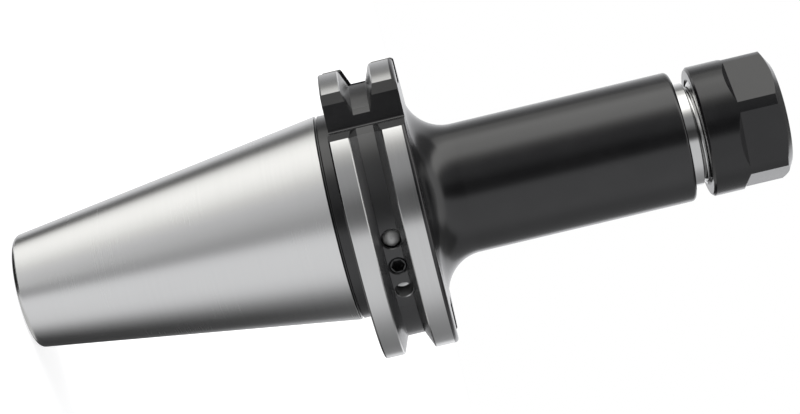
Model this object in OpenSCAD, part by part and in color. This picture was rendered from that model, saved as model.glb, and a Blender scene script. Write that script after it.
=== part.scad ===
// Collet chuck holder with a 7 in 24 steep taper, an automatic tool change flange and a long slim neck.
// The Z axis is the tool's axis and points to the clamping nut. The origin is the centre of the gauge line.
// The X axis runs through the middle of the two drive slots. Threads are plain at their pitch diameter.

/* [Steep taper] */
// Diameter at the gauge line
gauge_d = 44.45; // [43:0.05:45]
// Length from the gauge line to the small end
taper_length = 68.4; // [60:0.1:80]
// Chamfer round the small end
end_chamfer = 1.1; // [0.4:0.1:2]
// Width of the turned groove behind the gauge line
relief_w = 0.5; // [0.2:0.1:0.8]
// Depth of the turned groove behind the gauge line
relief_depth = 0.6; // [0.2:0.1:0.8]
// Step down from the taper to the short collar before the flange
collar_step = 0.15; // [0.05:0.05:0.5]

/* [Pull stud socket] */
// Diameter of the pilot bore for the pull stud
pilot_d = 17; // [16.5:0.1:18]
// Depth of the pilot bore
pilot_depth = 8; // [6:0.5:12]
// Lead-in chamfer of the pilot bore
pilot_chamfer = 0.75; // [0.3:0.05:1.2]
// Outside diameter of the pull stud's thread
stud_thread_d = 16; // [12:1:16]
// Pitch of the pull stud's thread
stud_pitch = 2; // [1.5:0.25:2]
// Length of the pull stud's thread
stud_thread_length = 26; // [20:1:32]
// Diameter of the coolant bore along the axis
coolant_d = 8; // [5:0.5:8]

/* [Flange] */
// Distance from the gauge line to the flange's front face
flange_start = 3.2; // [2.8:0.1:4]
// Thickness of the flange
flange_length = 15.9; // [15:0.1:19]
// Outside diameter of the flange
flange_d = 63.55; // [62.5:0.05:66]
// Distance from the gauge line to the middle of the gripper groove
groove_centre = 11; // [10.5:0.1:12]
// Depth of the gripper groove
groove_depth = 3.65; // [3:0.05:4]
// Width of the gripper groove at its floor
groove_floor_w = 3.6; // [3.4:0.1:4.5]
// Width of the gripper groove at the outside diameter
groove_open_w = 6.8; // [6:0.1:8]
// Chamfer along the two edges of the gripper groove
groove_edge = 0.15; // [0.1:0.05:0.3]
// Chamfer on the flange's front edge
flange_front_chamfer = 0.35; // [0.2:0.05:0.8]
// Rounding on the flange's back edge
flange_back_round = 0.9; // [0.4:0.1:1.5]
// Width of the two drive slots
slot_w = 16.1; // [14:0.1:18]
// Distance from the axis to the floor of the shallow drive slot
slot_floor = 25; // [24.5:0.1:27]
// Distance from the axis to the floor of the deep drive slot
deep_slot_floor = 22.8; // [22.6:0.1:24]
// Distance from the axis to each of the two faces of the orientation notch
notch_face = 18.5; // [17.5:0.1:20]
// Chamfer along the lips of the drive slots
slot_chamfer = 0.6; // [0.3:0.1:1]
// Chamfer along the lips of the orientation notch
notch_chamfer = 1.5; // [0.6:0.1:2]

/* [Flange drillings] */
// Angle of the closing screws from the middle of the shallow drive slot
valve_angle = 111.1; // [80:0.1:130]
// Angle from the closing screw to the drilling on each side of it
drilling_step = 12.2; // [9:0.1:15]
// Diameter of the closing screws and of their holes
valve_d = 3.6; // [3:0.1:4]
// Length of the closing screws
valve_length = 5; // [4:0.5:6]
// Width across the flats of the closing screws' hexagon sockets
valve_socket = 2.5; // [1.5:0.5:2.5]
// Diameter of the pressed-in sealing balls
ball_d = 4; // [3:0.1:4.4]
// Diameter of the open drillings
drilling_d = 3.6; // [2.5:0.1:4]
// Depth of the ball drillings and the open drillings
drilling_depth = 8; // [5:0.5:9]
// Lead-in chamfer of the drillings in the groove floor
drilling_chamfer = 0.2; // [0.1:0.05:0.3]
// How far the closing screws and the balls sit below the groove floor
sink_depth = 0.2; // [0.1:0.1:1]
// Distance from the flange's outside to the middle of the coolant channels in its front face
channel_inset = 4.8; // [4.2:0.1:5.2]
// Diameter of the coolant channels
channel_d = 4; // [3:0.5:4]

/* [Neck and nose] */
// Diameter of the long neck
neck_d = 28; // [27:0.5:34]
// Radius between the flange's back face and the neck
neck_fillet = 10; // [6:0.5:11]
// Distance from the gauge line to the neck's shoulder
neck_end = 74.8; // [65:0.1:120]
// Rounding on the neck's shoulder
shoulder_round = 1; // [0.5:0.1:1.5]
// Diameter of the ground seat in front of the shoulder
nose_d = 22.2; // [22:0.1:23]
// Length of the ground seat
nose_seat_length = 2.2; // [1.5:0.1:3]
// Length of the nose from the shoulder to its front face
nose_length = 11; // [10:0.1:14]
// Outside diameter of the nose thread
nut_thread_d = 22; // [21.5:0.1:22.4]
// Pitch of the nose thread
nut_pitch = 1.5; // [1:0.25:1.5]
// Chamfer at the start of the nose thread
nose_chamfer = 0.8; // [0.4:0.1:1.2]

/* [Collet] */
// Diameter of the collet seat at the nose's front face
seat_d = 16; // [15.5:0.1:16.5]
// Half angle of the collet and of its seat
seat_angle = 8; // [7.5:0.1:8.5]
// Largest diameter of the collet
collet_d = 17; // [16.8:0.1:17.4]
// Length of the collet
collet_length = 27.5; // [25:0.5:30]
// Bore of the collet, for the tool's shank
collet_bore = 8; // [3:0.5:9]
// Diameter of the collet's front face
collet_face_d = 13.5; // [13:0.1:14.2]
// Half angle of the collet's front cone
head_angle = 30; // [28:1:32]
// Width of the plain land on the collet's head
head_land = 0.5; // [0.3:0.1:0.8]
// Width of the collet's extraction groove
collet_groove_w = 2.7; // [2.4:0.1:3.2]
// Diameter at the floor of the extraction groove
collet_groove_d = 13.8; // [13.4:0.1:14.2]
// Number of slots cut from each end of the collet
collet_slots = 8; // [4:1:8]
// Width of the collet's slots
collet_slot_w = 0.6; // [0.4:0.1:0.8]
// Length left uncut by the slots that come from the front
rear_web = 4; // [3:0.5:6]
// Length left uncut by the slots that come from the rear
front_web = 7.5; // [7:0.5:10]

/* [Clamping nut] */
// Outside diameter of the clamping nut
nut_d = 28; // [27.5:0.1:30]
// Length of the clamping nut
nut_length = 17.5; // [17:0.1:19]
// Width across the nut's flats
nut_flats = 25.3; // [24.8:0.1:26]
// Length of the flats, from the nut's front face
flats_length = 9.7; // [7:0.5:11]
// Angle of the ramp behind the flats, from the axis
ramp_angle = 65; // [35:1:70]
// Rotation of the nut's first flat from the middle of the shallow drive slot
nut_turn = 42.8; // [0:0.1:60]
// Diameter where the front chamfer meets the nut's front face
nut_face_d = 22; // [20:0.1:23]
// Angle of the nut's front chamfer, from the front face
nut_face_angle = 30; // [20:1:40]
// Chamfer on the nut's rear edge
nut_rear_chamfer = 0.5; // [0.3:0.1:1]
// How far the nut's front face stands in front of the collet
nut_lead = 0.3; // [0:0.1:1]
// Width of the turned relief at the end of the nut's thread
nut_relief_w = 1.4; // [1:0.1:1.8]
// Depth of the turned relief below the nut's thread
nut_relief_depth = 0.6; // [0.4:0.1:0.8]

/* [Stop screw] */
// Outside diameter of the stop screw's thread
stop_thread_d = 10; // [9:0.5:10.5]
// Pitch of the stop screw's thread
stop_pitch = 1.5; // [1:0.25:1.5]
// Length of the stop screw
stop_length = 14; // [10:0.5:18]
// Width across the flats of the stop screw's hexagon socket
stop_socket = 5; // [4:0.5:5]
// Depth of the stop screw's hexagon socket
stop_socket_depth = 5; // [4:0.5:6]
// Diameter of the coolant hole through the stop screw
stop_hole_d = 3.5; // [2:0.5:4]
// Length of the thread that guides the stop screw
stop_thread_length = 23; // [19:0.5:28]
// Diameter of the clear bore behind the collet seat
cavity_d = 11.5; // [11.1:0.1:12]
// Length of the clear bore from the stop screw's thread to the collet
cavity_length = 16.7; // [14:0.1:24]

/* [Fits] */
// Radial clearance between threads and other moving fits
running_clearance = 0.05; // [0.03:0.01:0.08]
// Radial clearance between the collet and its two cones
cone_clearance = 0.04; // [0.02:0.01:0.08]
// Radial clearance round the pressed and screwed-in small pieces
tight_clearance = 0.02; // [0.01:0.01:0.05]
// Axial and radial play of the nut's extraction ring in the collet's groove
ring_play = 0.25; // [0.15:0.05:0.35]
// Gap under the stop screw at the bottom of its thread
stop_gap = 0.1; // [0:0.05:0.3]

/* [Hidden] */
$fn = 60;
round_fn = 24;
fillet_fn = 48;

taper_slope = 7 / 48;
pitch_depth = 0.3248;
drill_point = 59;
past = 1;

small_end_z = -taper_length;
small_end_r = gauge_d / 2 - taper_length * taper_slope;
collar_r = gauge_d / 2 - collar_step;
flange_r = flange_d / 2;
flange_end = flange_start + flange_length;
groove_r = flange_r - groove_depth;
neck_r = neck_d / 2;

stud_r = stud_thread_d / 2 - pitch_depth * stud_pitch;
nose_thread_r = nut_thread_d / 2 - pitch_depth * nut_pitch;
stop_r = stop_thread_d / 2 - pitch_depth * stop_pitch;

nose_z = neck_end + nose_length;
seat_r = seat_d / 2;
seat_slope = tan(seat_angle);
collet_r = collet_d / 2;
head_cone_length = (collet_d - collet_face_d) / 2 / tan(head_angle);
collet_shoulder_z = nose_z + (collet_r - seat_r) / seat_slope;
collet_head_z = collet_shoulder_z + collet_groove_w;
collet_cone_z = collet_head_z + head_land;
collet_front_z = collet_cone_z + head_cone_length;
collet_rear_z = collet_front_z - collet_length;

nut_front_z = collet_front_z + nut_lead;
nut_rear_z = nut_front_z - nut_length;
nut_bore_r = nose_thread_r + running_clearance;
ring_rear_z = collet_shoulder_z + ring_play;
ring_front_z = collet_head_z - ring_play;
ring_tight_r = collet_groove_d / 2 + ring_play;
ring_wide_r = collet_r + ring_play / 2;
ring_r = (ring_tight_r + ring_wide_r) / 2;
ring_offset = (ring_wide_r - ring_tight_r) / 2;

stop_top_z = collet_rear_z - cavity_length;
stop_seat_z = stop_top_z - stop_thread_length;
channel_meet_z = stop_seat_z - channel_d;
channel_r = flange_r - channel_inset;
channel_lean = atan2(channel_r, channel_meet_z - flange_start);

// Piece of a square corner that lies outside a rounding of radius r, with the corner at the origin.
module corner_cut(r) {
  difference() {
    square(r);
    translate([r, r])
      circle(r, $fn = round_fn);
  }
}

// Triangle of a chamfer of size c, with the corner at the origin.
module chamfer_cut(c) {
  polygon([[0, 0], [c, 0], [0, c]]);
}

// Solid round bar of radius r from z0 to z1, as half of its section.
module band(r, z0, z1) {
  translate([0, z0])
    square([r, z1 - z0]);
}

// Half of the section of the steep taper, its end chamfer and the collar before the flange.
module shank_section() {
  chamfer_z = small_end_z + end_chamfer;
  relief_start = relief_w / 2;
  relief_end = relief_start + relief_w;
  polygon([
    [0, small_end_z],
    [small_end_r + end_chamfer * taper_slope - end_chamfer, small_end_z],
    [small_end_r + end_chamfer * taper_slope, chamfer_z],
    [gauge_d / 2, 0],
    [gauge_d / 2, relief_start],
    [gauge_d / 2 - relief_depth, relief_start],
    [gauge_d / 2 - relief_depth, relief_end],
    [collar_r, relief_end],
    [collar_r, flange_start + past],
    [0, flange_start + past]
  ]);
}

// Half of the section of the flange with its gripper groove.
module flange_section() {
  edge_r = flange_r - groove_edge;
  half_floor = groove_floor_w / 2;
  half_edge = groove_open_w / 2 - groove_edge * (groove_open_w - groove_floor_w) / 2 / groove_depth;
  half_open = half_edge + groove_edge + past;
  difference() {
    band(flange_r, flange_start, flange_end);
    polygon([
      [groove_r, groove_centre - half_floor],
      [edge_r, groove_centre - half_edge],
      [flange_r + past, groove_centre - half_open],
      [flange_r + past, groove_centre + half_open],
      [edge_r, groove_centre + half_edge],
      [groove_r, groove_centre + half_floor]
    ]);
    translate([flange_r, flange_start])
      mirror([1, 0])
        chamfer_cut(flange_front_chamfer);
    translate([flange_r, flange_end])
      mirror([1, 0])
        mirror([0, 1])
          corner_cut(flange_back_round);
  }
}

// Half of the section of the neck, with the large radius at its root and the rounded shoulder.
module neck_section() {
  difference() {
    band(neck_r, flange_end - past, neck_end);
    translate([neck_r, neck_end])
      mirror([1, 0])
        mirror([0, 1])
          corner_cut(shoulder_round);
  }
  difference() {
    translate([neck_r - past, flange_end])
      square([neck_fillet + past, neck_fillet]);
    translate([neck_r + neck_fillet, flange_end + neck_fillet])
      circle(neck_fillet, $fn = fillet_fn);
  }
}

// Half of the section of the nose: the ground seat and the thread as a plain cylinder.
module nose_section() {
  band(nose_d / 2, neck_end - past, neck_end + nose_seat_length);
  difference() {
    band(nose_thread_r, neck_end, nose_z);
    translate([nose_thread_r, nose_z])
      mirror([1, 0])
        mirror([0, 1])
          chamfer_cut(nose_chamfer);
  }
}

// Half of the section of the whole inside, from the pull stud's mouth to the collet's mouth.
module inside_section() {
  mouth_r = pilot_d / 2;
  pilot_z = small_end_z + pilot_depth;
  stud_z = pilot_z + stud_thread_length;
  stud_point_z = stud_z + (stud_r - coolant_d / 2) / tan(drill_point);
  stop_bore_r = stop_r + running_clearance;
  cavity_r = cavity_d / 2;
  cone_r = seat_r + cone_clearance;
  cone_z = nose_z - (cone_r - cavity_r) / seat_slope;
  cavity_z = stop_top_z + cavity_r - stop_bore_r;
  polygon([
    [0, small_end_z - past],
    [mouth_r + pilot_chamfer + past, small_end_z - past],
    [mouth_r, small_end_z + pilot_chamfer],
    [mouth_r, pilot_z],
    [stud_r, pilot_z],
    [stud_r, stud_z],
    [coolant_d / 2, stud_point_z],
    [coolant_d / 2, stop_seat_z],
    [stop_bore_r, stop_seat_z],
    [stop_bore_r, stop_top_z],
    [cavity_r, cavity_z],
    [cavity_r, cone_z],
    [cone_r + past * seat_slope, nose_z + past],
    [0, nose_z + past]
  ]);
}

// Triangle that chamfers the corner between a cut's side and the flange's outside. The corner is at lip, the side
// runs outwards in the given direction, and the solid lies to the side's left (1) or right (-1).
module lip_chamfer(size, lip, direction, solid_side) {
  start = lip - size * direction;
  skin = turned(lip, solid_side * size / flange_r * 180 / PI);
  polygon([start, start + 3 * (skin - start), lip + 2 * size * direction]);
}

function turned(p, angle) = [p[0] * cos(angle) - p[1] * sin(angle), p[0] * sin(angle) + p[1] * cos(angle)];

// Cuts the drawn outline through both of the flange's rims.
module through_flange() {
  translate([0, 0, flange_start - past])
    linear_extrude(flange_length + 2 * past)
      children();
}

module drive_slot(floor_x) {
  half = slot_w / 2;
  lip_x = sqrt(flange_r * flange_r - half * half);
  through_flange() {
    translate([floor_x, -half])
      square([flange_r + 2 * past - floor_x, slot_w]);
    lip_chamfer(slot_chamfer, [lip_x, half], [1, 0], 1);
    lip_chamfer(slot_chamfer, [lip_x, -half], [1, 0], -1);
  }
}

// Two faces at a right angle, midway between the shallow drive slot and the Y axis.
module orientation_notch() {
  lip = sqrt(flange_r * flange_r - notch_face * notch_face);
  through_flange() {
    translate([notch_face, notch_face])
      square(flange_r + 2 * past - notch_face);
    lip_chamfer(notch_chamfer, [lip, notch_face], [1, 0], -1);
    lip_chamfer(notch_chamfer, [notch_face, lip], [0, 1], 1);
  }
}

// Puts what is drawn along +Z onto the groove floor, pointing outwards at the given angle.
module on_groove_floor(angle) {
  rotate([0, 0, angle])
    translate([groove_r, 0, groove_centre])
      rotate([0, 90, 0])
        children();
}

// Hole of diameter d into the groove floor, with a lead-in chamfer.
module groove_hole(angle, d, depth) {
  lead = groove_r - sqrt(groove_r * groove_r - d * d / 4) + drilling_chamfer;
  on_groove_floor(angle)
    rotate_extrude()
      polygon([
        [0, -depth],
        [d / 2, -depth],
        [d / 2, -lead],
        [d / 2 + lead + past, past],
        [0, past]
      ]);
}

// Channel from the flange's front face, inwards and forwards to the coolant bore.
module coolant_channel(angle) {
  run = norm([channel_r, channel_meet_z - flange_start]);
  rotate([0, 0, angle])
    translate([0, 0, channel_meet_z])
      rotate([0, 180 - channel_lean, 0])
        cylinder(h = run + channel_d, d = channel_d);
}

module flange_drillings() {
  valve_depth = groove_r - channel_r * (channel_meet_z - groove_centre) / (channel_meet_z - flange_start);
  for (side = [0, 180]) {
    coolant_channel(valve_angle + side);
    groove_hole(valve_angle + side, valve_d, valve_depth);
    groove_hole(valve_angle - drilling_step + side, ball_d, drilling_depth);
    groove_hole(valve_angle + drilling_step + side, drilling_d, drilling_depth);
  }
}

module holder_body() {
  color("dimgray")
    difference() {
      rotate_extrude() {
        shank_section();
        flange_section();
        neck_section();
        nose_section();
      }
      rotate_extrude()
        inside_section();
      drive_slot(slot_floor);
      rotate([0, 0, 180])
        drive_slot(deep_slot_floor);
      orientation_notch();
      flange_drillings();
    }
}

// One flat with its ramp, cut from the front of the nut.
module nut_flat(angle) {
  flat_r = nut_flats / 2;
  flat_z = nut_front_z - flats_length;
  outer_r = nut_d / 2 + past;
  ramp = (outer_r - flat_r) / tan(ramp_angle);
  rotate([90, 0, angle])
    linear_extrude(nut_d, center = true)
      polygon([
        [flat_r, flat_z],
        [outer_r, flat_z - ramp],
        [outer_r, nut_front_z + past],
        [flat_r, nut_front_z + past]
      ]);
}

// Half of the section of the nut's outside.
module nut_section() {
  face_chamfer = (nut_d - nut_face_d) / 2 * tan(nut_face_angle);
  polygon([
    [0, nut_rear_z],
    [nut_d / 2 - nut_rear_chamfer, nut_rear_z],
    [nut_d / 2, nut_rear_z + nut_rear_chamfer],
    [nut_d / 2, nut_front_z - face_chamfer],
    [nut_face_d / 2, nut_front_z],
    [0, nut_front_z]
  ]);
}

// Half of the section of the nut's inside, apart from the extraction ring's eccentric hole.
module nut_inside_section() {
  thread_z = nose_z + running_clearance;
  relief_r = nut_bore_r + nut_relief_depth;
  relief_z = thread_z + nut_relief_w;
  lead = nut_relief_depth;
  chamber_r = ring_wide_r + ring_play;
  head_r = collet_r + ring_play / 2;
  cone_r = collet_r + cone_clearance;
  cone_step = (head_r - cone_r) / tan(head_angle);
  mouth_r = collet_face_d / 2 + cone_clearance - nut_lead * tan(head_angle);
  polygon([
    [0, nut_rear_z - past],
    [nut_bore_r + lead + past, nut_rear_z - past],
    [nut_bore_r, nut_rear_z + lead],
    [nut_bore_r, thread_z],
    [relief_r, thread_z],
    [relief_r, relief_z],
    [chamber_r, relief_z],
    [chamber_r, ring_rear_z],
    [0, ring_rear_z]
  ]);
  polygon([
    [0, ring_front_z],
    [head_r, ring_front_z],
    [head_r, collet_cone_z - cone_step],
    [mouth_r, nut_front_z],
    [mouth_r, nut_front_z + past],
    [0, nut_front_z + past]
  ]);
}

module clamping_nut() {
  color("#2b2c2e")
    rotate([0, 0, nut_turn])
      difference() {
        rotate_extrude()
          nut_section();
        for (i = [0 : 5])
          nut_flat(60 * i);
        rotate_extrude()
          nut_inside_section();
        translate([ring_offset, 0, ring_rear_z - past])
          cylinder(h = ring_front_z - ring_rear_z + 2 * past, r = ring_r);
      }
}

// Half of the section of the collet's outside: long cone, extraction groove and head.
module collet_section() {
  small_r = collet_r - (collet_shoulder_z - collet_rear_z) * seat_slope;
  edge = 0.3;
  polygon([
    [0, collet_rear_z],
    [small_r - edge, collet_rear_z],
    [small_r + edge * seat_slope, collet_rear_z + edge],
    [collet_r, collet_shoulder_z],
    [collet_groove_d / 2, collet_shoulder_z],
    [collet_groove_d / 2, collet_head_z],
    [collet_r, collet_head_z],
    [collet_r, collet_cone_z],
    [collet_face_d / 2, collet_front_z],
    [0, collet_front_z]
  ]);
}

// Slots cut from the front and, half a step round, from the rear, so that the collet stays one piece.
module collet_slot_cuts() {
  step = 360 / collet_slots;
  front_start = collet_rear_z + rear_web;
  rear_end = collet_front_z - front_web;
  for (i = [0 : collet_slots - 1]) {
    rotate([0, 0, step * i])
      translate([0, -collet_slot_w / 2, front_start])
        cube([collet_r + past, collet_slot_w, collet_length]);
    rotate([0, 0, step * (i + 0.5)])
      translate([0, -collet_slot_w / 2, rear_end - collet_length])
        cube([collet_r + past, collet_slot_w, collet_length]);
  }
}

module collet() {
  color("silver")
    difference() {
      rotate_extrude()
        collet_section();
      translate([0, 0, collet_rear_z - past])
        cylinder(h = collet_length + 2 * past, d = collet_bore);
      collet_slot_cuts();
    }
}

// Headless screw along +Z with its socket at the top, drawn from z = 0 to its length.
module socket_screw(r, length, socket, socket_depth, edge) {
  difference() {
    rotate_extrude()
      polygon([[0, 0], [r - edge, 0], [r, edge], [r, length - edge], [r - edge, length], [0, length]]);
    translate([0, 0, length - socket_depth])
      cylinder(h = socket_depth + past, d = socket / cos(30), $fn = 6);
  }
}

module stop_screw() {
  color("#3a3a3c")
    translate([0, 0, stop_seat_z + stop_gap])
      difference() {
        socket_screw(stop_r, stop_length, stop_socket, stop_socket_depth, stop_pitch / 2);
        translate([0, 0, -past])
          cylinder(h = stop_length, d = stop_hole_d);
      }
}

module closing_screws() {
  color("#222224")
    for (side = [0, 180])
      on_groove_floor(valve_angle + side)
        translate([0, 0, -sink_depth - valve_length])
          socket_screw(valve_d / 2 - tight_clearance, valve_length, valve_socket, valve_length / 2, 0.25);
}

module sealing_balls() {
  ball_r = ball_d / 2 - tight_clearance;
  color("gainsboro")
    for (side = [0, 180])
      on_groove_floor(valve_angle - drilling_step + side)
        translate([0, 0, -sink_depth - ball_r])
          sphere(ball_r);
}

holder_body();
clamping_nut();
collet();
stop_screw();
closing_screws();
sealing_balls();
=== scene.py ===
"""Looks of a collet chuck holder with a steep taper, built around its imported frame.

Everything is in the holder's own frame. The Z axis is the tool's axis and points to the clamping nut, the
origin is the centre of the taper's gauge line, and the X axis runs through the middle of the shallow drive
slot. Sizes are in millimetres until a mesh is made, and meshes are in metres.
"""

import logging
import math
from dataclasses import dataclass, field, replace
from enum import Enum
from typing import Callable, Optional, Union

import bmesh
import bpy
from mathutils import Matrix, Vector


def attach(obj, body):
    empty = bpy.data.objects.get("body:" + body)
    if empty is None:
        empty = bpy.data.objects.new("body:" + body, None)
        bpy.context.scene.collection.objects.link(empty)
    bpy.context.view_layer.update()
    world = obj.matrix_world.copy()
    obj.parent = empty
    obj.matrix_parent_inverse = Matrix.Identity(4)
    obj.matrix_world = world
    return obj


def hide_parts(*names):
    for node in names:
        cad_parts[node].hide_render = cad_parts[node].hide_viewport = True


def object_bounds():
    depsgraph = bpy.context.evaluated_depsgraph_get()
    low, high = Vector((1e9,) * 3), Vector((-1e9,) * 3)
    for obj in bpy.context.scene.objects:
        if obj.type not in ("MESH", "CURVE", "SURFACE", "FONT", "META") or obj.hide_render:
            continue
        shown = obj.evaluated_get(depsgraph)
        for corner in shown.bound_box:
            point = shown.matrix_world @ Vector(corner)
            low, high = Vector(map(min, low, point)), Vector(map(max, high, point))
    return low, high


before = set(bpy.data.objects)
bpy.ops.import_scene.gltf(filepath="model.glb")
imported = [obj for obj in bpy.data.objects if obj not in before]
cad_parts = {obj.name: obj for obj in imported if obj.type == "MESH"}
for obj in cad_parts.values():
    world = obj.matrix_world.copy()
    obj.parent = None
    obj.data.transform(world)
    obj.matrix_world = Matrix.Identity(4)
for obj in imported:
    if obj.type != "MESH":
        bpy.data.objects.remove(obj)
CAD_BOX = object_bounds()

log = logging.getLogger("chuck_holder")

MM = 0.001
FULL_TURN = 2 * math.pi
MERGE_DISTANCE = 1e-8
WELD_DISTANCE = 2e-6
SHARP_ANGLE = math.radians(20)
NEUTRAL_WEIGHT = 50
ROUND_STEPS = 192
THREAD_STEPS = 96
HIDDEN_THREAD_STEPS = 64
OPPOSITE_SIDES = (0, 180)
WHITE = (1.0, 1.0, 1.0, 1.0)

# An arc takes less than half of the shorter side beside it, and a larger arc gets finer steps, in degrees.
LONGEST_RUN = 0.49
ARC_STEP = 15.0
ARC_STEP_RADIUS = 3.0

# How far cutting tools reach past what they cut, in millimetres.
# A lip's chamfer is cut to a multiple of its size.
PAST = 1.0
FAR_PAST = 3.0
LIP_REACH = 3

# Widths over which one finish changes into another, in millimetres.
CRISP_FADE = 0.02
FINE_FADE = 0.03
FADE = 0.05
SOFT_FADE = 0.1
WIDE_FADE = 0.2

# Strength of each finer layer of noise against the one before it.
LAYER_STRENGTH = 0.55


class Body(Enum):
    """The rigid bodies that the pieces ride on."""

    HOLDER = "holder"
    COLLET = "collet"
    NUT = "nut"
    STOP_SCREW = "stop_screw"


class Slot(Enum):
    """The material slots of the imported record."""

    HOLDER_STEEL = "holder_steel"
    NUT_STEEL = "nut_steel"
    COLLET_STEEL = "collet_steel"
    SCREW_STEEL = "screw_steel"
    BALL_STEEL = "ball_steel"


class ThreadSide(Enum):
    """Whether a thread's ridge stands out from a shaft or in from a hole's wall."""

    OUTSIDE = 1
    INSIDE = -1


def mm_point(x: float, y: float, z: float) -> Vector:
    """Returns a point given in millimetres as a vector in metres."""
    return Vector((x, y, z)) * MM


@dataclass
class Section:
    """An outline of straight sides and rounded corners, which is half of the section of a turned piece.

    Each corner is a radius, a height and the radius that rounds the corner off, all in millimetres. The
    notch's corner is drawn with it too, with X and Y in place of the radius and the height.
    """

    corners: list[tuple[float, float, float]] = field(default_factory=list)

    def to(self, radius: float, height: float, rounding: float = 0.0) -> "Section":
        """Adds a corner.

        Args:
            radius: Distance from the axis.
            height: Place along the axis.
            rounding: Radius of the arc that takes the corner's place, or 0 for a sharp one.

        Returns:
            The section itself, so that corners can be chained.
        """
        self.corners.append((radius, height, rounding))
        return self

    def outline(self) -> list[Vector]:
        """Draws the closed outline, with each rounding as a true arc.

        Returns:
            The outline's points, in millimetres.
        """
        points: list[Vector] = []
        for index, (radius, height, rounding) in enumerate(self.corners):
            here = Vector((radius, height))
            if rounding <= 0:
                points.append(here)
                continue
            before = Vector(self.corners[index - 1][:2]) - here
            after = Vector(self.corners[(index + 1) % len(self.corners)][:2]) - here
            points.extend(self._arc(here, before, after, rounding))
        return points

    @staticmethod
    def _arc(here: Vector, before: Vector, after: Vector, rounding: float) -> list[Vector]:
        """Works out the arc that rounds one corner.

        Args:
            here: The corner.
            before: Way from the corner to the one before it.
            after: Way from the corner to the next one.
            rounding: Wanted radius of the arc, which shrinks where a side is too short for it.

        Returns:
            The arc's points, from the side before to the side after.
        """
        half = before.angle(after) / 2
        longest = LONGEST_RUN * min(before.length, after.length)
        run = min(rounding / math.tan(half), longest)
        radius = run * math.tan(half)
        start, end = here + before.normalized() * run, here + after.normalized() * run
        middle = here + (before.normalized() + after.normalized()).normalized() * (radius / math.sin(half))
        sweep = math.pi - 2 * half
        steps = max(2, math.ceil(math.degrees(sweep) / ARC_STEP * (1 + radius / ARC_STEP_RADIUS)))
        arm_a, arm_b = start - middle, end - middle
        points = []
        for step in range(steps + 1):
            share = step / steps
            weight_a = math.sin((1 - share) * sweep) / math.sin(sweep)
            weight_b = math.sin(share * sweep) / math.sin(sweep)
            points.append(middle + arm_a * weight_a + arm_b * weight_b)
        return points

    def spun(
        self, steps: int = ROUND_STEPS, closed: bool = True, turn: Optional[Matrix] = None,
    ) -> bmesh.types.BMesh:
        """Turns the section round the Z axis.

        Args:
            steps: Number of steps in the full turn.
            closed: False where the section starts and ends on the axis itself.
            turn: Turn or shift that puts the shell in place, if it needs one.

        Returns:
            The closed shell, with its faces pointing outwards.
        """
        shell = bmesh.new()
        verts = [shell.verts.new(mm_point(p.x, 0, p.y)) for p in self.outline()]
        ends = verts[1:] + verts[:1] if closed else verts[1:]
        edges = [shell.edges.new(pair) for pair in zip(verts, ends)]
        bmesh.ops.spin(
            shell, geom=verts + edges, cent=(0, 0, 0), axis=(0, 0, 1), dvec=(0, 0, 0),
            angle=FULL_TURN, steps=steps, use_merge=True, use_normal_flip=False, use_duplicate=False,
        )
        tidy_shell(shell)
        if turn is not None:
            bmesh.ops.transform(shell, matrix=turn, verts=shell.verts)
        return shell


def tidy_shell(shell: bmesh.types.BMesh) -> bmesh.types.BMesh:
    """Closes a shell's seams and poles and points its faces outwards.

    Args:
        shell: The shell to tidy.

    Returns:
        The same shell.
    """
    bmesh.ops.remove_doubles(shell, verts=shell.verts, dist=MERGE_DISTANCE)
    bmesh.ops.recalc_face_normals(shell, faces=shell.faces)
    return shell


def prism(outline: list[Vector], low: float, high: float, turn: Optional[Matrix] = None) -> bmesh.types.BMesh:
    """Makes a straight prism over a flat outline.

    Args:
        outline: The outline's points in the XY plane, in millimetres.
        low: Height of the prism's lower face, in millimetres.
        high: Height of its upper face, in millimetres.
        turn: Turn or shift that puts the prism in place, if it needs one.

    Returns:
        The prism as a closed shell.
    """
    shell = bmesh.new()
    base = shell.faces.new([shell.verts.new(mm_point(p.x, p.y, low)) for p in outline])
    grown = bmesh.ops.extrude_face_region(shell, geom=[base])
    raised = [item for item in grown["geom"] if isinstance(item, bmesh.types.BMVert)]
    bmesh.ops.translate(shell, verts=raised, vec=mm_point(0, 0, high - low))
    if turn is not None:
        bmesh.ops.transform(shell, matrix=turn, verts=shell.verts)
    return tidy_shell(shell)


def joined(shells: list[bmesh.types.BMesh]) -> bmesh.types.BMesh:
    """Puts several shells into one mesh.

    Args:
        shells: The shells, which are freed.

    Returns:
        One mesh with all of them.
    """
    together = bmesh.new()
    for shell in shells:
        carrier = bpy.data.meshes.new("carrier")
        shell.to_mesh(carrier)
        shell.free()
        together.from_mesh(carrier)
        bpy.data.meshes.remove(carrier)
    return together


def piece_from(shell: bmesh.types.BMesh, name: str) -> bpy.types.Object:
    """Makes an object at the origin from a mesh that is already in place.

    Args:
        shell: The mesh, which is freed.
        name: The object's name.

    Returns:
        The new object, linked into the scene.
    """
    mesh = bpy.data.meshes.new(name)
    shell.to_mesh(mesh)
    shell.free()
    piece = bpy.data.objects.new(name, mesh)
    bpy.context.scene.collection.objects.link(piece)
    return piece


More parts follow.
